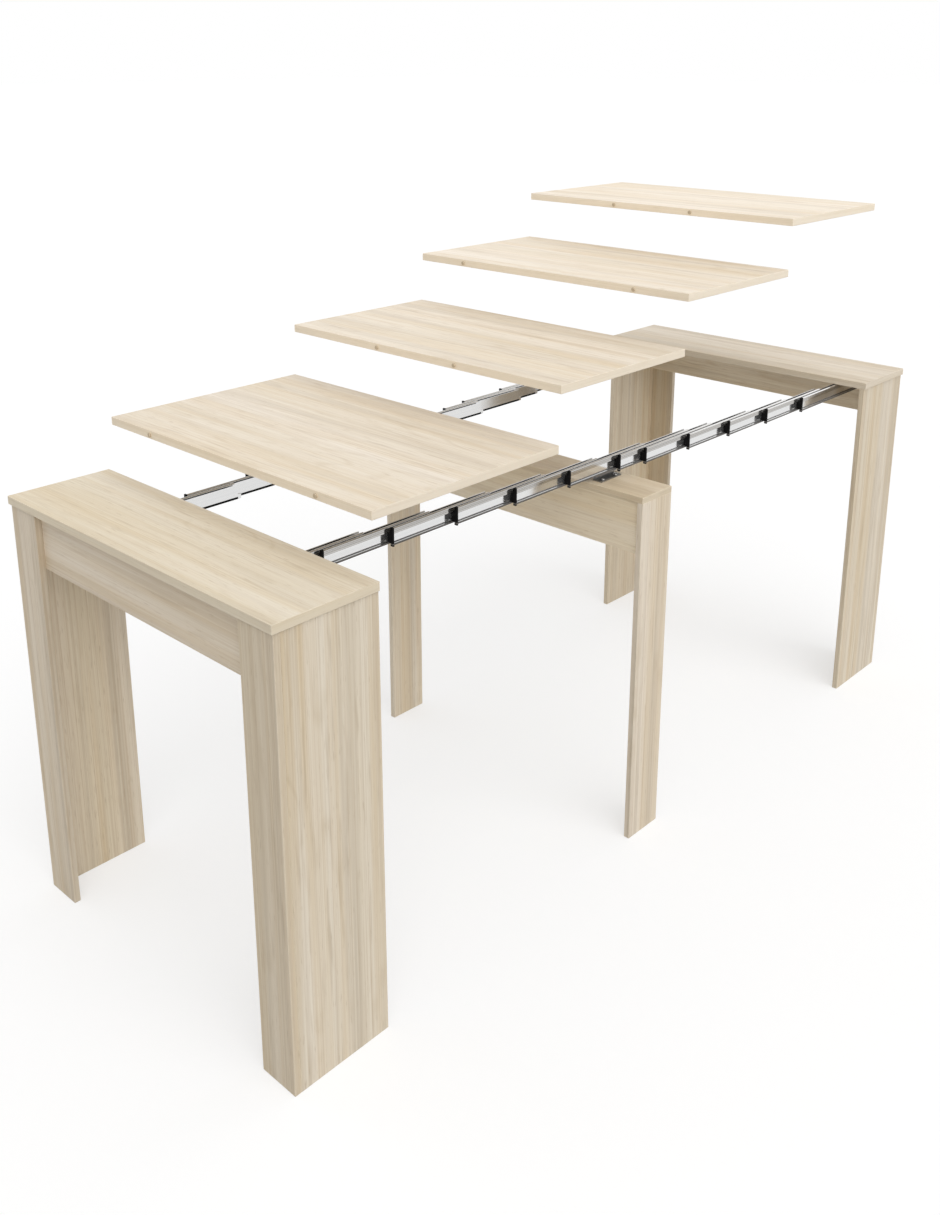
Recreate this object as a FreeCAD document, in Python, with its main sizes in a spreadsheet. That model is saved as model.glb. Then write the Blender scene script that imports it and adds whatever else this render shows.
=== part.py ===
import FreeCAD, Part
import os
import re
import Sketcher

# Extending console table, drawn pulled out to its full length with its four leaves lifted off.
# X runs along the pull from the near end to the far end, Y to the left of someone at the near end, Z up.
# The origin is on the floor under the middle of the table. All lengths are in millimetres.

DRIVING_SIZES = {
    # The table as a whole, pulled out
    "overall_length": 1900,
    "table_width": 725,
    "table_height": 780,
    "edge_break": 0.6,
    # End frames
    "end_depth": 195,
    "top_thickness": 15,
    "board_thickness": 12,
    "front_overhang": 4,
    "side_overhang": 3,
    "facing_width": 78,
    "apron_height": 101,
    # Centre frame, which nests between the side panels when the table is closed
    "centre_offset": -41,
    "centre_depth": 93,
    "centre_side_gap": 1.5,
    "centre_apron_height": 103,
    "centre_apron_inset": 4,
    # Leaves
    "leaf_width": 690,
    "leaf_length": 359,
    "first_leaf_length": 418.5,
    "leaf_gap": 3.4,
    "leaf_lift": 102,
    "leaf_seat_gap": 0.3,
    "dowel_diameter": 8,
    "dowel_reach": 3,
    "dowel_nose": 0.8,
    "dowel_wide_spacing": 443,
    "dowel_narrow_spacing": 201,
    "socket_clearance": 0.4,
    "socket_depth": 5,
    # Slide rails: an outward channel with a hooked tongue on its inner side
    "rail_length": 233,
    "rail_height": 30,
    "rail_drop": 1,
    "rail_depth": 10,
    "rail_wall": 1.5,
    "rail_round": 2.8,
    "web_inset": 4,
    "upper_lip": 10,
    "groove_level": 24.6,
    "groove_width": 1,
    "groove_depth": 0.5,
    "slide_clearance": 0.4,
    "tongue_play": 0.5,
    "neck_level": 9,
    "neck_height": 3.5,
    "tab_length": 7,
    "tab_rise": 11,
    "last_rail_room": 56.6,
    # Where the rails stand when the table is pulled out
    "near_rail_setback": 30,
    "far_rail_setback": 54,
    "centre_rail_lead": 111,
    "near_travel": 139.9,
    "short_travel": 71,
    "far_travel": 135,
    # Black plastic on the rails
    "guide_height": 2.4,
    "glide_top": 6,
    "glide_play": 0.3,
    "block_length": 12,
    "cap_thickness": 3,
    "cap_rise": 0.5,
    "cap_drop": 2.5,
    "cap_round": 1,
    # Brackets
    "bracket_plate": 2.5,
    "bracket_hole": 5,
    "centre_bracket_height": 11,
    "centre_bracket_length": 62,
    "centre_bracket_reach": 21,
    "centre_screw_spacing": 40,
    "end_bracket_length": 60,
    "end_bracket_reach": 22,
    "end_bracket_setback": 45,
    "end_bracket_far_setback": 90,
    "end_screw_spacing": 36,
}

LAST_RAIL = 11
CENTRE_RAIL = 5

doc = FreeCAD.newDocument("extending_table")
sheet = doc.addObject("Spreadsheet::Sheet", "Sizes")
for row, (size, value) in enumerate(DRIVING_SIZES.items(), start=1):
    sheet.set(f"A{row}", size)
    sheet.set(f"B{row}", str(value))
    sheet.setAlias(f"B{row}", size)
doc.recompute()

parts = []


def formula(text):
    """An expression in which every name is a cell of the sheet."""
    return re.sub(r"[a-z]\w+", r"Sizes.\g<0>", str(text))


def measure(text):
    """What a formula comes to with the sheet's present sizes."""
    return float(sheet.evalExpression(formula(text)))


def new_body(label):
    body = doc.addObject("PartDesign::Body", label)
    body.Label = label
    return body


def new_sketch(body, name, plane, offset="0"):
    """An empty sketch on one of the body's own origin planes, moved along the plane's normal."""
    sketch = body.newObject("Sketcher::SketchObject", name)
    origin_plane = next(f for f in body.Origin.OriginFeatures if f.Role == plane)
    sketch.AttachmentSupport = (origin_plane, "")
    sketch.MapMode = "FlatFace"
    sketch.setExpression("AttachmentOffset.Base.z", formula(offset))
    return sketch


def place_point(sketch, geometry, point, place):
    """Ties a point of the sketch to two formulas, measured from the sketch's origin."""
    for kind, text in zip(("DistanceX", "DistanceY"), place):
        index = sketch.addConstraint(Sketcher.Constraint(kind, -1, 1, geometry, point, measure(text)))
        sketch.setExpression(f"Constraints[{index}]", formula(text))


def outline(body, name, plane, corners, offset="0"):
    """A closed outline of straight runs through corners that are given as formulas."""
    sketch = new_sketch(body, name, plane, offset)
    spots = [FreeCAD.Vector(*map(measure, corner), 0) for corner in corners]
    count = len(corners)
    for i in range(count):
        sketch.addGeometry(Part.LineSegment(spots[i], spots[(i + 1) % count]))
    for i in range(count):
        sketch.addConstraint(Sketcher.Constraint("Coincident", i, 2, (i + 1) % count, 1))
        place_point(sketch, i, 1, corners[i])
    return sketch


def circles(body, name, plane, centres, diameter, offset="0"):
    """Round outlines of one diameter about centres that are given as formulas."""
    sketch = new_sketch(body, name, plane, offset)
    radius = measure(diameter) / 2
    for i, centre in enumerate(centres):
        spot = FreeCAD.Vector(*map(measure, centre), 0)
        sketch.addGeometry(Part.Circle(spot, FreeCAD.Vector(0, 0, 1), radius))
        place_point(sketch, i, 3, centre)
        index = sketch.addConstraint(Sketcher.Constraint("Diameter", i, 2 * radius))
        sketch.setExpression(f"Constraints[{index}]", formula(diameter))
    return sketch


def pad(body, sketch, length, backward=False):
    feature = body.newObject("PartDesign::Pad", f"{sketch.Name}_pad")
    feature.Profile = sketch
    feature.setExpression("Length", formula(length))
    feature.Reversed = backward
    return feature


def pocket(body, sketch, depth):
    feature = body.newObject("PartDesign::Pocket", f"{sketch.Name}_pocket")
    feature.Profile = sketch
    feature.setExpression("Length", formula(depth))
    return feature


def dress_edges(body, base, wanted, kind, size):
    """Puts a Fillet or Chamfer on the edges of the last feature that the test picks out."""
    doc.recompute()
    names = [f"Edge{i}" for i, edge in enumerate(base.Shape.Edges, start=1) if wanted(edge)]
    feature = body.newObject(f"PartDesign::{kind}", f"{base.Name}_{kind.lower()}")
    feature.Base = (base, names)
    feature.setExpression({"Fillet": "Radius", "Chamfer": "Size"}[kind], formula(size))


def board(label, x, y, z):
    """A panel between two levels of X, Y and Z, with every edge slightly broken."""
    body = new_body(label)
    corners = [(x[0], y[0]), (x[1], y[0]), (x[1], y[1]), (x[0], y[1])]
    panel = pad(body, outline(body, f"{label}_outline", "XY_Plane", corners), f"({z[1]}) - ({z[0]})")
    body.setExpression("Placement.Base.z", formula(z[0]))
    dress_edges(body, panel, lambda edge: True, "Chamfer", "edge_break")
    parts.append(body)
    return body


def mirrored(source, label):
    """The same piece on the left of the table."""
    twin = doc.addObject("Part::Mirroring", label)
    twin.Label = label
    twin.Source = source
    twin.Normal = FreeCAD.Vector(0, 1, 0)
    return twin


def group(label, pieces):
    """Like pieces of one body, kept as separate solids of one node."""
    compound = doc.addObject("Part::Compound", label)
    compound.Label = label
    compound.Links = pieces
    parts.append(compound)


def edge_dowels(body, name, spacing, x):
    """Two round pins that stand out of a board's near edge."""
    centres = [(f"{side}{spacing} / 2", "top_thickness / 2") for side in ("-", "")]
    sketch = circles(body, f"{name}_dowels", "YZ_Plane", centres, "dowel_diameter", x)
    pins = pad(body, sketch, "dowel_reach", backward=True)
    nose = measure(f"{x} - dowel_reach")
    dress_edges(body, pins, lambda edge: edge.BoundBox.XMax < nose + 1e-6, "Chamfer", "dowel_nose")


def edge_sockets(body, name, spacing, x):
    """Two blind holes in a board's far edge, for the dowels of the next leaf."""
    centres = [(f"{side}{spacing} / 2", "top_thickness / 2") for side in ("-", "")]
    diameter = "dowel_diameter + socket_clearance"
    sketch = circles(body, f"{name}_sockets", "YZ_Plane", centres, diameter, x)
    pocket(body, sketch, "socket_depth")


# End frames: a top on two L-shaped legs, with an apron behind the facings

underside = "(table_height - top_thickness)"
side_face = "(table_width / 2 - side_overhang)"
inner_face = f"({side_face} - board_thickness)"


def from_end(end, start, stop):
    """A stretch of X measured inwards from the outer edge of the near or far top."""
    if end == "near":
        return f"-overall_length / 2 + {start}", f"-overall_length / 2 + {stop}"
    return f"overall_length / 2 - ({stop})", f"overall_length / 2 - ({start})"


def end_frame(end):
    facing_back = "front_overhang + board_thickness"
    apron_back = "front_overhang + 2 * board_thickness"
    across = ("-table_width / 2", "table_width / 2")
    top = board(f"{end}_top", from_end(end, "0", "end_depth"), across, (underside, "table_height"))
    side_x = from_end(end, facing_back, "end_depth")
    board(f"{end}_left_side", side_x, (inner_face, side_face), ("0", underside))
    board(f"{end}_right_side", side_x, (f"-{side_face}", f"-{inner_face}"), ("0", underside))
    facing_x = from_end(end, "front_overhang", facing_back)
    facing_edge = f"({side_face} - facing_width)"
    board(f"{end}_left_facing", facing_x, (facing_edge, side_face), ("0", underside))
    board(f"{end}_right_facing", facing_x, (f"-{side_face}", f"-{facing_edge}"), ("0", underside))
    apron_x = from_end(end, facing_back, apron_back)
    apron_z = (f"{underside} - apron_height", underside)
    board(f"{end}_apron", apron_x, (f"-{inner_face}", inner_face), apron_z)
    return top


near_top = end_frame("near")
edge_sockets(near_top, "near_top", "dowel_wide_spacing", "-overall_length / 2 + end_depth")
end_frame("far")

# Centre frame: a lower stand, whose top carries the middle rails on brackets

rail_bottom = f"({underside} - rail_drop - rail_height)"
centre_height = f"({rail_bottom} - centre_bracket_height)"
centre_under = f"({centre_height} - board_thickness)"
centre_half = f"({inner_face} - centre_side_gap)"
leg_inside = f"({centre_half} - board_thickness)"
centre_near = "(centre_offset - centre_depth / 2)"
centre_far = "(centre_offset + centre_depth / 2)"
centre_x = (centre_near, centre_far)

board("centre_top", centre_x, (f"-{centre_half}", centre_half), (centre_under, centre_height))
board("centre_left_leg", centre_x, (leg_inside, centre_half), ("0", centre_under))
board("centre_right_leg", centre_x, (f"-{centre_half}", f"-{leg_inside}"), ("0", centre_under))
apron_span = (f"-{leg_inside}", leg_inside)
apron_rise = (f"{centre_under} - centre_apron_height", centre_under)
near_face = f"({centre_near} + centre_apron_inset)"
far_face = f"({centre_far} - centre_apron_inset)"
board("centre_near_apron", (near_face, f"{near_face} + board_thickness"), apron_span, apron_rise)
board("centre_far_apron", (f"{far_face} - board_thickness", far_face), apron_span, apron_rise)

# Rails: where each of the twelve stands on the right-hand side

stage_pitch = "(rail_depth + slide_clearance)"
first_rail_out = f"({inner_face} - last_rail_room - rail_depth - {LAST_RAIL} * {stage_pitch})"


def rail_start(stage):
    """X of a rail's near end, with the table pulled out."""
    centre_start = "centre_offset - centre_rail_lead"
    if stage == 0:
        return "(-overall_length / 2 + near_rail_setback)"
    if stage <= CENTRE_RAIL + 1:
        return f"({centre_start} + near_travel * {stage - CENTRE_RAIL})"
    return f"({centre_start} + near_travel + short_travel + far_travel * {stage - CENTRE_RAIL - 2})"


def rail_reach(stage):
    """Length of a rail; the first and last run on under the end tops that hold them."""
    if stage == 0:
        return f"({rail_start(1)} - near_travel + rail_length - {rail_start(0)})"
    if stage == LAST_RAIL:
        return f"(overall_length / 2 - far_rail_setback - {rail_start(LAST_RAIL)})"
    return "rail_length"


def set_on_stage(body, stage):
    """Stands a right-hand piece at its rail's near end, with its own +Y towards the table's middle."""
    body.setExpression("Placement.Base.x", formula(rail_start(stage)))
    body.setExpression("Placement.Base.y", formula(f"-({first_rail_out} + {stage} * {stage_pitch})"))
    body.setExpression("Placement.Base.z", formula(rail_bottom))


def section(points):
    """Corners of a rail section, from outward distance and height to the sketch's Y and Z."""
    return [(f"-({out})", up) for out, up in points]


# Levels of the section that rails, tongues, glides and caps share

web_out = "(web_inset + rail_wall)"
lip_in = "(rail_depth - rail_wall)"
ceiling = "(rail_height - rail_wall)"
upper_lip_edge = "(rail_height - upper_lip)"
slot_mouth = "(-slide_clearance - rail_wall)"
slot_back = f"(-slide_clearance - rail_depth + {web_out})"
tongue_front = f"({slot_mouth} - tongue_play)"
tongue_back = f"({slot_back} + tongue_play)"
glide_floor = "(rail_wall + slide_clearance)"

groove_floor = "rail_depth - groove_depth"
groove_top = "groove_level + groove_width"
channel_section = section([
    ("web_inset", "0"), (lip_in, "0"), (lip_in, "rail_wall"), (web_out, "rail_wall"), (web_out, ceiling),
    (lip_in, ceiling), (lip_in, upper_lip_edge), ("rail_depth", upper_lip_edge),
    ("rail_depth", "groove_level"), (groove_floor, "groove_level"), (groove_floor, groove_top),
    ("rail_depth", groove_top), ("rail_depth", "rail_height"), ("web_inset", "rail_height"),
])
tongue_section = section([
    ("web_inset", "neck_level"), ("web_inset", "neck_level + neck_height"),
    (tongue_front, "neck_level + neck_height"), (tongue_front, f"{ceiling} - slide_clearance"),
    (tongue_back, f"{ceiling} - slide_clearance"), (tongue_back, "glide_top"),
    (tongue_front, "glide_top"), (tongue_front, "neck_level"),
])
tab_section = section([
    (tongue_front, glide_floor), (tongue_front, "tab_rise"),
    (tongue_back, "tab_rise"), (tongue_back, glide_floor),
])
guide_section = section([
    (lip_in, "0"), ("rail_depth", "0"), ("rail_depth", "guide_height"), (lip_in, "guide_height"),
])
glide_section = section([
    (f"{slot_mouth} - glide_play", glide_floor), (f"{slot_mouth} - glide_play", "glide_top"),
    (f"{slot_back} + glide_play", "glide_top"), (f"{slot_back} + glide_play", glide_floor),
])
block_levels = ("guide_height + slide_clearance", f"{upper_lip_edge} - slide_clearance")
cap_section = section([
    ("web_inset", "-cap_drop"), ("rail_depth", "-cap_drop"), ("rail_depth", "rail_height + cap_rise"),
    ("web_inset", "rail_height + cap_rise"), ("web_inset", block_levels[1]), ("0", block_levels[1]),
    ("0", block_levels[0]), ("web_inset", block_levels[0]),
])
block_section = section([
    ("web_inset", block_levels[0]), ("web_inset", block_levels[1]),
    (f"{slot_back} + glide_play", block_levels[1]), (f"{slot_back} + glide_play", block_levels[0]),
])


def is_top_edge(level):
    """Picks the lengthwise edges that lie at one height above the rail's foot."""
    height = measure(level)
    return lambda edge: edge.BoundBox.ZMin > height - 1e-6 and edge.BoundBox.XLength > 1e-6


def rail(stage):
    """An extruded channel, the tongue that runs in the rail before it, and a stop tab at the tail."""
    tongue_start = "block_length" if stage else "0"
    label = f"rail_{stage:02d}_right"
    body = new_body(label)
    channel = pad(body, outline(body, f"{label}_channel", "YZ_Plane", channel_section), rail_reach(stage))
    dress_edges(body, channel, is_top_edge("rail_height"), "Fillet", "rail_round")
    tongue = outline(body, f"{label}_tongue", "YZ_Plane", tongue_section, tongue_start)
    pad(body, tongue, f"{rail_reach(stage)} - {tongue_start}")
    pad(body, outline(body, f"{label}_tab", "YZ_Plane", tab_section, rail_reach(stage)), "tab_length")
    set_on_stage(body, stage)
    parts.append(body)
    parts.append(mirrored(body, f"rail_{stage:02d}_left"))


def strip(stage, name, strip_section, strip_start):
    """A plastic strip along the rail, which keeps metal off metal."""
    label = f"rail_{stage:02d}_{name}_right"
    body = new_body(label)
    profile = outline(body, f"{label}_section", "YZ_Plane", strip_section, strip_start)
    pad(body, profile, f"{rail_reach(stage)} - {strip_start}")
    set_on_stage(body, stage)
    return body


def end_cap(stage):
    """A plate over the rail's near end, with the block that slides in the rail before it."""
    label = f"rail_{stage:02d}_cap_right"
    body = new_body(label)
    face = outline(body, f"{label}_plate", "YZ_Plane", cap_section)
    plate = pad(body, face, "cap_thickness", backward=True)
    dress_edges(body, plate, is_top_edge("rail_height + cap_rise"), "Fillet", "cap_round")
    pad(body, outline(body, f"{label}_block", "YZ_Plane", block_section), "block_length")
    set_on_stage(body, stage)
    return body


for stage in range(LAST_RAIL + 1):
    rail(stage)
    tongue_glide = strip(stage, "glide", glide_section, "block_length" if stage else "0")
    lip_guide = strip(stage, "guide", guide_section, "0")
    plastics = [tongue_glide, lip_guide]
    if stage:
        plastics.append(end_cap(stage))
    plastics += [mirrored(piece, piece.Label.replace("right", "left")) for piece in plastics]
    group(f"rail_{stage:02d}_end_caps" if stage else "rail_00_glides", plastics)

# Brackets that hold the first, centre and last rails

head_room = "(rail_height + rail_drop)"


def bracket(label, stage, corners, start, length, hole_out, screw_spacing):
    """A bent plate along a rail, with two screw holes through its flat leg."""
    body = new_body(f"{label}_right")
    plate = outline(body, f"{label}_section", "YZ_Plane", section(corners), start)
    pad(body, plate, length)
    middle = f"({start} + {length} / 2)"
    centres = [(f"{middle} {sign} {screw_spacing} / 2", f"-({hole_out})") for sign in ("-", "+")]
    holes = circles(body, f"{label}_holes", "XY_Plane", centres, "bracket_hole")
    cut = pocket(body, holes, "0")
    cut.Type = "ThroughAll"
    cut.Midplane = True
    set_on_stage(body, stage)
    group(label, [body, mirrored(body, f"{label}_left")])


bracket(
    "near_rail_brackets", 0,
    [
        (tongue_back, "glide_top"), (tongue_back, head_room),
        (f"{tongue_back} - end_bracket_reach", head_room),
        (f"{tongue_back} - end_bracket_reach", f"{head_room} - bracket_plate"),
        (f"{tongue_back} - bracket_plate", f"{head_room} - bracket_plate"),
        (f"{tongue_back} - bracket_plate", "glide_top"),
    ],
    f"(-overall_length / 2 + end_bracket_setback - {rail_start(0)})", "end_bracket_length",
    f"{tongue_back} - end_bracket_reach / 2 - bracket_plate / 2", "end_screw_spacing",
)
bracket(
    "far_rail_brackets", LAST_RAIL,
    [
        ("rail_depth", upper_lip_edge), ("rail_depth + bracket_plate", upper_lip_edge),
        ("rail_depth + bracket_plate", f"{head_room} - bracket_plate"),
        ("rail_depth + end_bracket_reach", f"{head_room} - bracket_plate"),
        ("rail_depth + end_bracket_reach", head_room), ("rail_depth", head_room),
    ],
    f"(overall_length / 2 - end_bracket_far_setback - end_bracket_length - {rail_start(LAST_RAIL)})",
    "end_bracket_length",
    "rail_depth + end_bracket_reach / 2 + bracket_plate / 2", "end_screw_spacing",
)
bracket(
    "centre_rail_brackets", CENTRE_RAIL,
    [
        ("0", "-centre_bracket_height"), ("centre_bracket_reach", "-centre_bracket_height"),
        ("centre_bracket_reach", "bracket_plate - centre_bracket_height"),
        ("bracket_plate", "bracket_plate - centre_bracket_height"),
        ("bracket_plate", "-bracket_plate"), ("rail_depth", "-bracket_plate"),
        ("rail_depth", "0"), ("0", "0"),
    ],
    f"(centre_offset - centre_bracket_length / 2 - {rail_start(CENTRE_RAIL)})", "centre_bracket_length",
    "(rail_depth + centre_bracket_reach) / 2", "centre_screw_spacing",
)

# Leaves, lifted off in even steps above their seats on the end caps

leaf_seat = f"({underside} - rail_drop + cap_rise + leaf_seat_gap)"
leaf_across = ("-leaf_width / 2", "leaf_width / 2")
near_edge = "(-overall_length / 2 + end_depth + leaf_gap)"
dowel_spacings = ("dowel_wide_spacing", "dowel_narrow_spacing")

for leaf in (1, 2, 3, 4):
    length = "first_leaf_length" if leaf == 1 else "leaf_length"
    far_edge = f"({near_edge} + {length})"
    lifted = f"{leaf_seat} + {leaf} * leaf_lift"
    panel = board(f"leaf_{leaf}", (near_edge, far_edge), leaf_across, (lifted, f"{lifted} + top_thickness"))
    edge_dowels(panel, f"leaf_{leaf}", dowel_spacings[(leaf - 1) % 2], near_edge)
    if leaf < 4:
        edge_sockets(panel, f"leaf_{leaf}", dowel_spacings[leaf % 2], far_edge)
    near_edge = f"({far_edge} + leaf_gap)"

doc.recompute()

failed = [o.Label for o in doc.Objects if "Invalid" in o.State or "Error" in o.State]
failed += [p.Label for p in parts if p.Shape.isNull() or not p.Shape.isValid()]
if failed:
    raise RuntimeError(f"pieces that failed to build: {failed}")

os.makedirs("parts", exist_ok=True)
for part in parts:
    part.Shape.exportStep(f"parts/{part.Label}.step")
    print(part.Label, len(part.Shape.Solids), round(part.Shape.Volume, 1))
print(len(parts), "nodes")
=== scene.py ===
import math

import bmesh
import bpy
from mathutils import Matrix, Vector


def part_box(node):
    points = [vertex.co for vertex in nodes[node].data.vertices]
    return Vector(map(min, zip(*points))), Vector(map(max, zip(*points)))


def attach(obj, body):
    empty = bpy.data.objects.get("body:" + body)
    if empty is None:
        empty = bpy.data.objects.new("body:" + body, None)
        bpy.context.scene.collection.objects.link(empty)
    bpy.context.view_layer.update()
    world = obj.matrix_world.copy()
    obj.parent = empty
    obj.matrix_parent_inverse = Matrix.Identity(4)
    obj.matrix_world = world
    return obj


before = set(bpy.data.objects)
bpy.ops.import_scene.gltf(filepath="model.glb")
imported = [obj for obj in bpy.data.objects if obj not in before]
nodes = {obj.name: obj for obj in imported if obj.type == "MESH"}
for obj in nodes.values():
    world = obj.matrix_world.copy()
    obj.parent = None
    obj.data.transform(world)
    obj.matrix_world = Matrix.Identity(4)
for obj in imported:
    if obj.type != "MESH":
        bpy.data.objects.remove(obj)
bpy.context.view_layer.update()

scene = bpy.context.scene
MM = 0.001
WHITE = (1.0, 1.0, 1.0, 1.0)
Y, Z = 1, 2  # the two axes that grain runs along


def linear(code):
    """An sRGB hex colour as linear RGBA."""
    parts = [int(code[i:i + 2], 16) / 255 for i in (1, 3, 5)]
    return [c / 12.92 if c <= 0.04045 else ((c + 0.055) / 1.055) ** 2.4 for c in parts] + [1.0]


def add(tree, kind, inputs, **settings):
    """Adds a node, makes its settings, and links or sets each input that is named."""
    node = tree.nodes.new(kind)
    for name, value in settings.items():
        setattr(node, name, value)
    for socket, value in inputs.items():
        if isinstance(value, bpy.types.NodeSocket):
            tree.links.new(value, node.inputs[socket])
        else:
            node.inputs[socket].default_value = value
    return node


def new_finish(name):
    """An empty material and its node tree."""
    finish = bpy.data.materials.new(name)
    finish.use_nodes = True
    finish.node_tree.nodes.clear()
    return finish, finish.node_tree


def dress(finish, names):
    """Gives CAD nodes one finish."""
    for name in names:
        mesh = nodes[name].data
        mesh.materials.clear()
        mesh.materials.append(finish)


# Pale oak decor: a printed paper of light, slightly grey oak, pressed in melamine resin on board. The eye
# gets soft bands of cream, straw and grey, long fine streaks, faint short pores, a few arched growth lines
# and a rare small knot, under an even satin skin.

# Each layer of the print: its size across and along the grain in mm, and the detail of its noise. Fibre and
# pores are drawn coarser than real ones, so that they show.
GRAIN = {
    "wander": (90, 420, 1),
    "tone_and_painted_light": (85, 1300, 2),
    "straw": (30, 1000, 2),
    "grey": (38, 800, 3),
    "fibre": (2.6, 260, 3),
    "pore": (2.2, 28, 1),
    "flame": (9, 150, 2),
    "arches": (100, 950, 1),
    "breaks": (24, 60, 1),
}
LONGEST_FLECK = 200  # mm; layers up to this length are as long on every board
KNOT_ROOM = (210, 430)  # mm across and along, for one knot that may be there
KNOT_CHANCE = 0.26
RINGS = 16.0
EDGE_HIGHLIGHT_WIDTH = 1.5 * MM
DOWEL_SHOWS = 2.9 * MM

# How the print runs: swing to each side in mm, length of its streaks, and strength of its bands. The upright
# boards show straighter, longer and stronger streaks than the level ones.
UPRIGHT = (2.5, 2.4, 1.75)
LEVEL = (4.5, 1.2, 1.15)


def oak_decor(name, along, shift, figure, tone_and_painted_light, painted_edge_light=0.0, dowel_face=None):
    """Oak decor with its grain along one axis.

    shift moves the print in metres and figure is the strength of its growth lines. The tone triple scales its
    red,
    green and blue: painted light or shade, making the board lighter or darker by how much lamp light reaches
    it.
    The edge tint is how far the edge strips go to a paler, warmer print, which is painted light, and
    dowel_face the X of the edge that dowels stand out of.
    """
    finish, tree = new_finish(name)

    def ink(code):
        return [c * t for c, t in zip(linear(code), tone_and_painted_light)] + [1.0]

    place = add(tree, "ShaderNodeTexCoord", {})
    spot = add(tree, "ShaderNodeVectorMath", {0: place.outputs["Object"], 1: shift}).outputs[0]
    facing = add(tree, "ShaderNodeSeparateXYZ", {0: place.outputs["Normal"]})
    if along == Y:
        # The edge strip on a board's end runs along the end, so the print turns there
        on_end = add(tree, "ShaderNodeMath", {0: facing.outputs["Y"]}, operation="ABSOLUTE").outputs[0]
        parts = add(tree, "ShaderNodeSeparateXYZ", {0: spot})
        turned = add(tree, "ShaderNodeCombineXYZ", {
            0: parts.outputs["Y"], 1: parts.outputs["X"], 2: parts.outputs["Z"]})
        spot = add(tree, "ShaderNodeMix", {0: on_end, 4: spot, 5: turned.outputs[0]},
                   data_type="VECTOR").outputs[1]

    swing, reach, bold = UPRIGHT if along == Z else LEVEL
    layer = {}
    for key, (across_mm, along_mm, detail) in GRAIN.items():
        size = [1 / (across_mm * MM)] * 3
        size[along] = 1 / (along_mm * (reach if along_mm > LONGEST_FLECK else 1.0) * MM)
        stretched = add(tree, "ShaderNodeMapping", {"Vector": spot, "Scale": size})
        noise = add(tree, "ShaderNodeTexNoise", {
            "Vector": stretched.outputs[0], "Scale": 1.0, "Detail": detail, "Roughness": 0.55})
        layer[key] = noise.outputs["Fac"]
        if key == "wander":
            # The layers after this one follow its swing
            spot = add(tree, "ShaderNodeVectorMath", {
                0: noise.outputs["Color"], 1: [swing * MM] * 3, 2: spot}, operation="MULTIPLY_ADD").outputs[0]

    # Knots, and growth lines that bulge round them and break up along their length
    size = [1 / (KNOT_ROOM[0] * MM)] * 3
    size[along] = 1 / (KNOT_ROOM[1] * MM)
    stretched = add(tree, "ShaderNodeMapping", {"Vector": spot, "Scale": size})
    knot = add(tree, "ShaderNodeTexVoronoi", {"Vector": stretched.outputs[0], "Scale": 1.0})
    chance = add(tree, "ShaderNodeSeparateColor", {0: knot.outputs["Color"]})
    is_knot = add(tree, "ShaderNodeMath", {
        0: chance.outputs[0], 1: 1 - KNOT_CHANCE}, operation="GREATER_THAN")
    core = add(tree, "ShaderNodeMapRange", {
        0: knot.outputs["Distance"], 1: 0.012, 2: 0.034, 3: 0.75, 4: 0.0}, interpolation_type="SMOOTHSTEP")
    bulge = add(tree, "ShaderNodeMapRange", {
        0: knot.outputs["Distance"], 1: 0.0, 2: 0.34, 3: 0.2, 4: 0.0}, interpolation_type="SMOOTHSTEP")
    knot_mask = add(tree, "ShaderNodeMath", {0: core.outputs[0], 1: is_knot.outputs[0]}, operation="MULTIPLY")
    swell = add(tree, "ShaderNodeMath", {
        0: bulge.outputs[0], 1: is_knot.outputs[0], 2: layer["arches"]}, operation="MULTIPLY_ADD")
    rings = add(tree, "ShaderNodeMath", {0: swell.outputs[0], 1: RINGS}, operation="MULTIPLY")
    wave = add(tree, "ShaderNodeMath", {0: rings.outputs[0], 1: 0.5}, operation="PINGPONG")
    line = add(tree, "ShaderNodeMapRange", {0: wave.outputs[0], 1: 0.02, 2: 0.2, 3: 1.0, 4: 0.0},
               interpolation_type="SMOOTHSTEP")
    broken = add(tree, "ShaderNodeMapRange", {0: layer["breaks"], 1: 0.38, 2: 0.66, 3: 0.0, 4: figure})
    line_mask = add(tree, "ShaderNodeMath", {0: line.outputs[0], 1: broken.outputs[0]}, operation="MULTIPLY")

    # Inks from the ground up: each layer between its two levels takes up to a strength of its colour
    band = add(tree, "ShaderNodeMapRange", {0: layer["tone_and_painted_light"], 1: 0.34, 2: 0.66, 3: 0.0, 4: 1.0})
    shade = add(tree, "ShaderNodeMix", {
        0: band.outputs[0], 6: ink("#E1D4BC"), 7: ink("#EDE2D0")}, data_type="RGBA").outputs[2]
    masks = []
    for key, low, high, strength, code in (
        ("straw", 0.46, 0.7, 0.5 * bold, "#D9C4A0"),
        ("grey", 0.48, 0.72, 0.6 * bold, "#CDBFA9"),
        ("fibre", 0.52, 0.74, 0.35 * bold, "#F4EBD9"),
        ("fibre", 0.47, 0.3, 0.35 * bold, "#CDB99B"),
        ("pore", 0.63, 0.78, 0.38, "#B39C7A"),
        ("flame", 0.6, 0.76, 0.2 + figure, "#B7A283"),
    ):
        mask = add(tree, "ShaderNodeMapRange", {0: layer[key], 1: low, 2: high, 3: 0.0, 4: strength})
        masks.append((mask, ink(code)))
    masks += [(line_mask, ink("#BAA27A")), (knot_mask, ink("#8F7454"))]
    if along == Y:
        # Painted light: the edge strips of a top are painted a paler, warmer print than its face
        level = add(tree, "ShaderNodeMath", {0: facing.outputs["Z"]}, operation="ABSOLUTE").outputs[0]
        strip = add(tree, "ShaderNodeMapRange", {0: level, 1: 0.0, 2: 0.9, 3: painted_edge_light, 4: 0.0})
        masks.append((strip, ink("#F8EAD0")))
    if dowel_face is not None:
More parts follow.
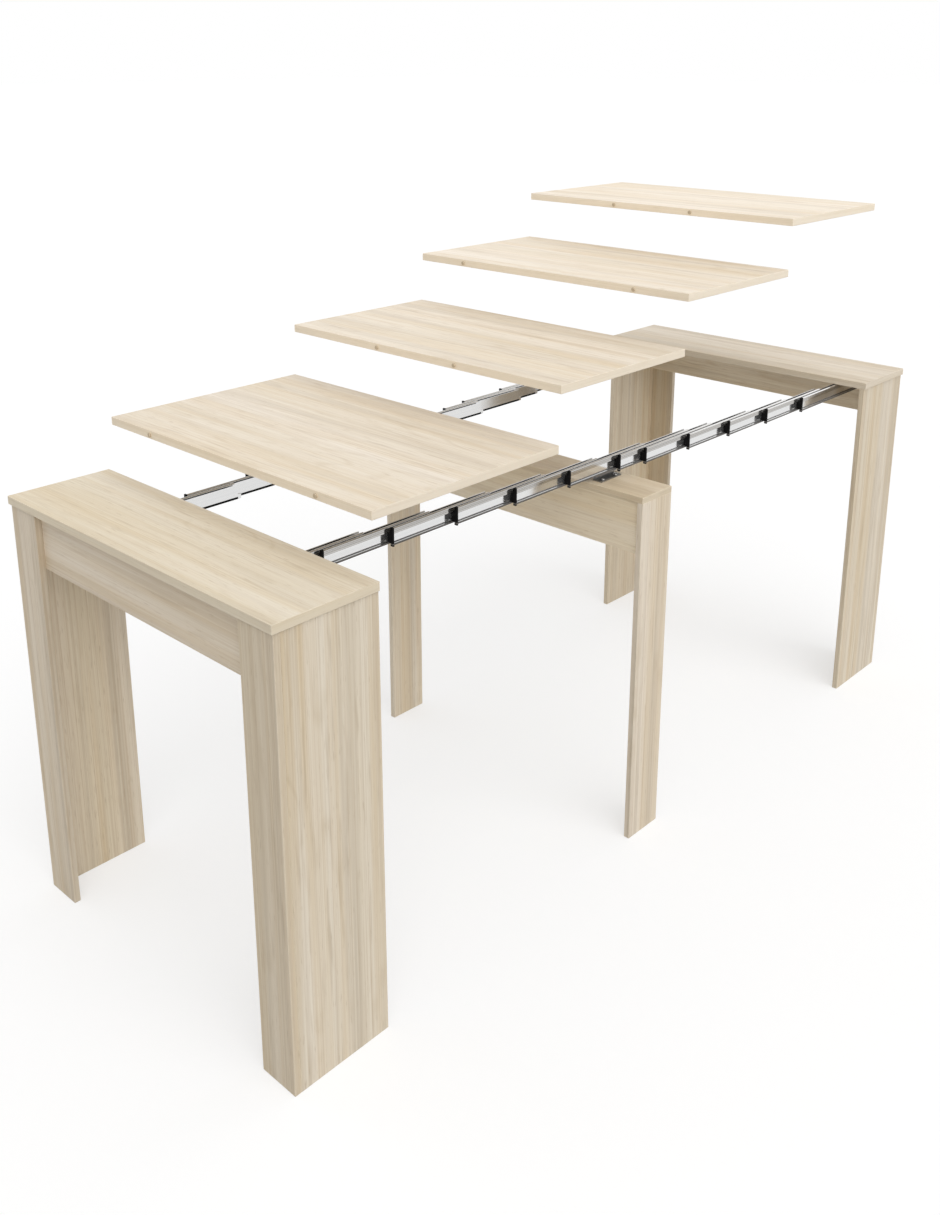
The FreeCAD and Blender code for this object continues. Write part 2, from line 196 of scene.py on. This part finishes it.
        # The beech dowels stand out of the near edge, turned duller by glue size
        where = add(tree, "ShaderNodeSeparateXYZ", {0: place.outputs["Object"]})
        on_dowel = add(tree, "ShaderNodeMath", {0: where.outputs["X"], 1: dowel_face}, operation="LESS_THAN")
        masks.append((on_dowel, linear("#C2B094")))
    # A painted highlight: a thin paler line follows each edge, as if the edge caught the light
    rounded = add(tree, "ShaderNodeBevel", {"Radius": EDGE_HIGHLIGHT_WIDTH}, samples=4)
    flat = add(tree, "ShaderNodeNewGeometry", {})
    turn = add(tree, "ShaderNodeVectorMath", {0: rounded.outputs[0], 1: flat.outputs["Normal"]},
               operation="DOT_PRODUCT")
    painted_edge_highlight = add(tree, "ShaderNodeMapRange", {0: turn.outputs["Value"], 1: 0.99, 2: 0.86, 3: 0.0, 4: 0.35})
    masks.append((painted_edge_highlight, ink("#FBF1DF")))
    for mask, colour in masks:
        shade = add(tree, "ShaderNodeMix", {
            0: mask.outputs[0], 6: shade, 7: colour}, data_type="RGBA").outputs[2]

    satin = add(tree, "ShaderNodeMapRange", {0: layer["fibre"], 1: 0.3, 2: 0.7, 3: 0.52, 4: 0.42})
    relief = add(tree, "ShaderNodeBump", {"Height": layer["pore"], "Strength": 0.06, "Distance": 0.2 * MM})
    skin = add(tree, "ShaderNodeBsdfPrincipled", {
        "Base Color": shade, "Roughness": satin.outputs[0], "Normal": relief.outputs[0], "IOR": 1.5})
    add(tree, "ShaderNodeOutputMaterial", {"Surface": skin.outputs[0]})
    return finish


# Painted light and shade: the last colour triple of each finish below makes that board lighter or darker by
# how much lamp light reaches it. The far and centre aprons, the left sides and the centre left leg are painted
# lighter, and the facings and far top darker.
dress(oak_decor("pale_oak_near_top", Y, (0.31, 0.12, 0.0), 0.16, (0.95, 0.95, 0.94), 0.3), ["near_top"])
dress(oak_decor("pale_oak_far_top", Y, (1.73, 0.4, 0.0), 0.22, (0.91, 0.9, 0.9), 0.3), ["far_top"])
dress(oak_decor("pale_oak_centre_top", Y, (2.9, 0.7, 0.0), 0.2, (0.99, 0.96, 0.91)), ["centre_top"])
for i in range(1, 5):
    near_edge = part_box(f"leaf_{i}")[0].x + DOWEL_SHOWS
    # Painted light: each leaf further up is painted a little paler, as if lit more from above
    pale = 0.985 + 0.03 * i  # each leaf further up is a little paler
    leaf = oak_decor(f"pale_oak_leaf_{i}", Y, (0.67 * i, 0.93 * i, 0.0), 0.22,
                     (pale, pale, 1.03 * pale), 0.6, near_edge)
    dress(leaf, [f"leaf_{i}"])
dress(oak_decor("pale_oak_near_apron", Y, (0.2, 0.35, 0.61), 0.14, (1.0, 0.98, 0.97)), ["near_apron"])
dress(oak_decor("pale_oak_far_apron", Y, (0.2, 0.35, 0.61), 0.3, (1.12, 1.1, 1.06)), ["far_apron"])
dress(oak_decor("pale_oak_centre_aprons", Y, (0.4, 0.15, 0.27), 0.12, (1.17, 1.15, 1.1)), [
    "centre_near_apron", "centre_far_apron"])
dress(oak_decor("pale_oak_right_sides", Z, (0.11, 0.4, 0.9), 0.2, (0.97, 0.965, 0.965)), [
    "near_right_side", "far_right_side"])
dress(oak_decor("pale_oak_left_sides", Z, (1.6, 0.55, 0.35), 0.12, (1.12, 1.1, 1.07)), [
    "near_left_side", "far_left_side"])
dress(oak_decor("pale_oak_facings", Z, (0.83, 0.21, 0.3), 0.2, (0.89, 0.86, 0.82)), [
    "near_left_facing", "near_right_facing", "far_left_facing", "far_right_facing"])
dress(oak_decor("pale_oak_centre_right_leg", Z, (1.4, 0.66, 0.1), 0.2, (1.0, 0.98, 0.97)), [
    "centre_right_leg"])
dress(oak_decor("pale_oak_centre_left_leg", Z, (0.4, 0.2, 0.7), 0.1, (1.17, 1.17, 1.19)), [
    "centre_left_leg"])

# Anodised aluminium, extruded and bright dipped: a pale metal that mirrors what is near it, with faint draw
# lines along its length. They are drawn 1.2 mm apart, coarser than real ones, so that they show. The outward
# faces of the upper lip are painted a darker brownish grey, strongest in three bands 3.3 mm apart: painted
# shade in the grooves between fine ridges and a painted reflection of the wood above.

DRAW_LENGTH, DRAW_LINE = 500 * MM, 1.2 * MM
LIP_FOOT, RIDGE = 754 * MM, 3.3 * MM
LIP_FACING = 0.6  # how far outward a face of the lip has to look
aluminium, tree = new_finish("anodised_aluminium")
place = add(tree, "ShaderNodeTexCoord", {})
drawn = add(tree, "ShaderNodeMapping", {
    "Vector": place.outputs["Object"], "Scale": [1 / DRAW_LENGTH, 1 / DRAW_LINE, 1 / DRAW_LINE]})
lines = add(tree, "ShaderNodeTexNoise", {"Vector": drawn.outputs[0], "Scale": 1.0, "Detail": 2.0})
tint = add(tree, "ShaderNodeMix", {
    0: lines.outputs["Fac"], 6: linear("#DADBDC"), 7: linear("#ECECEB")}, data_type="RGBA")
spot = add(tree, "ShaderNodeSeparateXYZ", {0: place.outputs["Object"]})
facing = add(tree, "ShaderNodeSeparateXYZ", {0: place.outputs["Normal"]})
side = add(tree, "ShaderNodeMath", {0: spot.outputs["Y"]}, operation="SIGN")
outward = add(tree, "ShaderNodeMath", {0: side.outputs[0], 1: facing.outputs["Y"]}, operation="MULTIPLY")
outer = add(tree, "ShaderNodeMath", {0: outward.outputs[0], 1: LIP_FACING}, operation="GREATER_THAN")
above = add(tree, "ShaderNodeMath", {0: spot.outputs["Z"], 1: LIP_FOOT}, operation="SUBTRACT")
on_lip = add(tree, "ShaderNodeMath", {0: above.outputs[0], 1: 0.0}, operation="GREATER_THAN")
lip = add(tree, "ShaderNodeMath", {0: outer.outputs[0], 1: on_lip.outputs[0]}, operation="MULTIPLY")
# Painted shade and reflection: bands a ridge apart darken and brown the lip's outward faces
step = add(tree, "ShaderNodeMath", {0: above.outputs[0], 1: RIDGE}, operation="DIVIDE")
ridge = add(tree, "ShaderNodeMath", {0: step.outputs[0], 1: 0.5}, operation="PINGPONG")
painted_groove_shade = add(tree, "ShaderNodeMapRange", {0: ridge.outputs[0], 1: 0.06, 2: 0.3, 3: 0.78, 4: 0.4},
             interpolation_type="SMOOTHSTEP")
shaded = add(tree, "ShaderNodeMath", {0: painted_groove_shade.outputs[0], 1: lip.outputs[0]}, operation="MULTIPLY")
metal = add(tree, "ShaderNodeMix", {0: shaded.outputs[0], 6: tint.outputs[2], 7: linear("#80786D")},
            data_type="RGBA")
gloss = add(tree, "ShaderNodeMapRange", {0: lines.outputs["Fac"], 1: 0.3, 2: 0.7, 3: 0.1, 4: 0.15})
relief = add(tree, "ShaderNodeBump", {
    "Height": lines.outputs["Fac"], "Strength": 0.03, "Distance": 0.05 * MM})
skin = add(tree, "ShaderNodeBsdfPrincipled", {
    "Base Color": metal.outputs[2], "Metallic": 0.9, "Roughness": gloss.outputs[0],
    "Normal": relief.outputs[0]})
add(tree, "ShaderNodeOutputMaterial", {"Surface": skin.outputs[0]})
dress(aluminium, [name for name in nodes if name.startswith("rail_") and name.endswith(("_left", "_right"))])

# Black nylon, moulded: near black with a dull sheen and the fine grain of an eroded mould, drawn at 0.8 mm,
# coarser than the real one. The guide strip that lines each rail's lower lip is painted dark grey, paler than
# the caps, as painted shade: the tone of the line of shade along the lower lip.

MOULD_GRAIN = 0.8 * MM
GUIDE_HEIGHT = 2.4 * MM
rail_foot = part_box("rail_06_right")[0].z
nylon, tree = new_finish("black_nylon")
place = add(tree, "ShaderNodeTexCoord", {})
grain = add(tree, "ShaderNodeTexNoise", {
    "Vector": place.outputs["Object"], "Scale": 1 / MOULD_GRAIN, "Detail": 2.0})
tint = add(tree, "ShaderNodeMix", {
    0: grain.outputs["Fac"], 6: linear("#050506"), 7: linear("#101011")}, data_type="RGBA")
spot = add(tree, "ShaderNodeSeparateXYZ", {0: place.outputs["Object"]})
height = add(tree, "ShaderNodeMath", {0: spot.outputs["Z"], 1: rail_foot}, operation="SUBTRACT")
# Painted shade: the band at the guide strip's height is painted dark grey, the tone of the shade line at the
# lip
shade_line_band = add(tree, "ShaderNodeMath", {
    0: height.outputs[0], 1: GUIDE_HEIGHT / 2, 2: GUIDE_HEIGHT / 2 + 0.1 * MM}, operation="COMPARE")
tint = add(tree, "ShaderNodeMix", {0: shade_line_band.outputs[0], 6: tint.outputs[2], 7: linear("#6F6C69")},
           data_type="RGBA")
gloss = add(tree, "ShaderNodeMapRange", {0: grain.outputs["Fac"], 1: 0.3, 2: 0.7, 3: 0.5, 4: 0.65})
relief = add(tree, "ShaderNodeBump", {
    "Height": grain.outputs["Fac"], "Strength": 0.15, "Distance": 0.05 * MM})
skin = add(tree, "ShaderNodeBsdfPrincipled", {
    "Base Color": tint.outputs[2], "Roughness": gloss.outputs[0], "Normal": relief.outputs[0], "IOR": 1.53,
    "Specular IOR Level": 0.1})
add(tree, "ShaderNodeOutputMaterial", {"Surface": skin.outputs[0]})
dress(nylon, [name for name in nodes if name.endswith(("_end_caps", "_glides"))])

# Zinc-plated steel, pressed: grey metal, cloudy from the plating bath, in patches of about 6 mm

CLOUD = 6 * MM
zinc, tree = new_finish("zinc_plated_steel")
place = add(tree, "ShaderNodeTexCoord", {})
clouds = add(tree, "ShaderNodeTexNoise", {
    "Vector": place.outputs["Object"], "Scale": 1 / CLOUD, "Detail": 4.0})
tint = add(tree, "ShaderNodeMix", {
    0: clouds.outputs["Fac"], 6: linear("#7B7A79"), 7: linear("#A3A2A1")}, data_type="RGBA")
gloss = add(tree, "ShaderNodeMapRange", {0: clouds.outputs["Fac"], 1: 0.3, 2: 0.7, 3: 0.28, 4: 0.42})
skin = add(tree, "ShaderNodeBsdfPrincipled", {
    "Base Color": tint.outputs[2], "Metallic": 1.0, "Roughness": gloss.outputs[0]})
add(tree, "ShaderNodeOutputMaterial", {"Surface": skin.outputs[0]})
dress(zinc, ["near_rail_brackets", "centre_rail_brackets", "far_rail_brackets"])


# Screws that hold the brackets: pan heads with a round drive socket. The profile gives radius and height in
# mm, from the socket's floor over the rim to the seat.

SCREW_PROFILE = [
    (0, 1.3), (1.5, 1.3), (1.6, 2.5), (2.4, 2.3), (3.1, 1.8), (3.6, 0.9), (3.7, 0.0), (0, 0.0)]
SCREW_SIDES = 20


def screws(name, seats, down, body):
    """One mesh of pan heads, each seated at a point, their tops up or down."""
    heads = bmesh.new()
    profile = [heads.verts.new((r * MM, 0.0, h * MM)) for r, h in SCREW_PROFILE]
    edges = [heads.edges.new(pair) for pair in zip(profile, profile[1:])]
    bmesh.ops.spin(heads, geom=profile + edges, axis=(0, 0, 1), cent=(0, 0, 0),
                   angle=math.tau, steps=SCREW_SIDES, use_merge=True)
    bmesh.ops.remove_doubles(heads, verts=heads.verts, dist=0.01 * MM)
    bmesh.ops.recalc_face_normals(heads, faces=heads.faces)
    if down:
        bmesh.ops.rotate(heads, cent=(0, 0, 0), matrix=Matrix.Rotation(math.pi, 3, "X"), verts=heads.verts)
    first = heads.verts[:]
    head = first + heads.edges[:] + heads.faces[:]
    for seat in seats[1:]:
        copied = bmesh.ops.duplicate(heads, geom=head)["geom"]
        corners = [part for part in copied if isinstance(part, bmesh.types.BMVert)]
        bmesh.ops.translate(heads, vec=seat, verts=corners)
    bmesh.ops.translate(heads, vec=seats[0], verts=first)
    mesh = bpy.data.meshes.new(name)
    heads.to_mesh(mesh)
    heads.free()
    mesh.materials.append(zinc)
    for face in mesh.polygons:
        face.use_smooth = True
    piece = bpy.data.objects.new(name, mesh)
    scene.collection.objects.link(piece)
    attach(piece, body)


def bracket_seats(x, spread, y, z):
    """Screw places of a pair of brackets, from millimetres."""
    return [Vector((x + along, side * y, z)) * MM for along in (-spread, spread) for side in (-1, 1)]


screws("near_bracket_screws", bracket_seats(-875, 18, 149.85, 762.5), True, "near_end")
screws("far_bracket_screws", bracket_seats(830, 18, 303.15, 762.5), True, "far_end")
screws("centre_bracket_screws", bracket_seats(-41, 20, 234.0, 725.5), False, "centre_frame")


def seen_rays(tree):
    """1 on rays from the camera, straight, mirrored or through glass, and 0 on those that only carry light."""
    rays = add(tree, "ShaderNodeLightPath", {})
    seen = rays.outputs["Is Camera Ray"]
    for kind in ("Is Glossy Ray", "Is Transmission Ray"):
        seen = add(tree, "ShaderNodeMath", {0: seen, 1: rays.outputs[kind]}, operation="MAXIMUM").outputs[0]
    return seen


# Floor: plain and pale. What the camera and reflections see is lifted to white, and the shadow stays.

FLOOR_REACH = 60
FLOOR_LIFT = 0.56
floor_mesh = bpy.data.meshes.new("floor")
ground = bmesh.new()
bmesh.ops.create_grid(ground, x_segments=1, y_segments=1, size=FLOOR_REACH)
ground.to_mesh(floor_mesh)
ground.free()
floor = bpy.data.objects.new("floor", floor_mesh)
scene.collection.objects.link(floor)
paper, tree = new_finish("floor_paper")
lift = add(tree, "ShaderNodeMath", {0: seen_rays(tree), 1: FLOOR_LIFT}, operation="MULTIPLY")
skin = add(tree, "ShaderNodeBsdfPrincipled", {
    "Base Color": linear("#B3B3B3"), "Roughness": 1.0, "Specular IOR Level": 0.0,
    "Emission Color": WHITE, "Emission Strength": lift.outputs[0]})
add(tree, "ShaderNodeOutputMaterial", {"Surface": skin.outputs[0]})
floor_mesh.materials.append(paper)

# Light: an even surround that looks white, a wide soft lamp overhead, one over the right side, and weak low
# ones all round that reach under the leaves

SURROUND = 0.35
world = bpy.data.worlds.new("studio")
world.use_nodes = True
scene.world = world
tree = world.node_tree
tree.nodes.clear()
level = add(tree, "ShaderNodeMapRange", {0: seen_rays(tree), 3: SURROUND, 4: 1.0})
glow = add(tree, "ShaderNodeBackground", {"Color": WHITE, "Strength": level.outputs[0]})
add(tree, "ShaderNodeOutputWorld", {"Surface": glow.outputs[0]})

for name, energy, spread, towards in (
    ("overhead", 0.97, 100, (0.0, 0.0, 1.0)),
    ("corner_fill", 1.1, 60, (-0.2, -0.65, 0.73)),
    ("side_fill", 0.3, 60, (0.05, -0.96, 0.26)),
    ("low_fill", 0.42, 60, (-0.7, -0.65, 0.28)),
    ("far_fill", 0.25, 50, (0.96, -0.12, 0.25)),
    ("left_fill", 0.25, 50, (-0.22, 0.94, 0.25)),
):
    lamp = bpy.data.lights.new(name, "SUN")
    lamp.energy = energy
    lamp.angle = math.radians(spread)
    light = bpy.data.objects.new(name, lamp)
    light.rotation_mode = "QUATERNION"
    light.rotation_quaternion = Vector(towards).to_track_quat("Z", "Y")
    scene.collection.objects.link(light)

# Camera: off the near right corner, above the highest leaf. Its shift straightens the upright edges as far as
# the other views allow, which keep it and still have to hold the whole table.

YAW, PITCH = math.radians(43.2925), math.radians(16.2856)
view = bpy.data.cameras.new("camera")
view.sensor_width = 36
view.lens = 36.456
view.shift_y = -0.16
camera = bpy.data.objects.new("camera", view)
camera.location = (-1.84779, -1.56927, 1.505)
forward = Vector((math.cos(YAW) * math.cos(PITCH), math.sin(YAW) * math.cos(PITCH), -math.sin(PITCH)))
camera.rotation_mode = "QUATERNION"
camera.rotation_quaternion = forward.to_track_quat("-Z", "Y")
scene.collection.objects.link(camera)
scene.camera = camera
scene.view_settings.view_transform = "Standard"
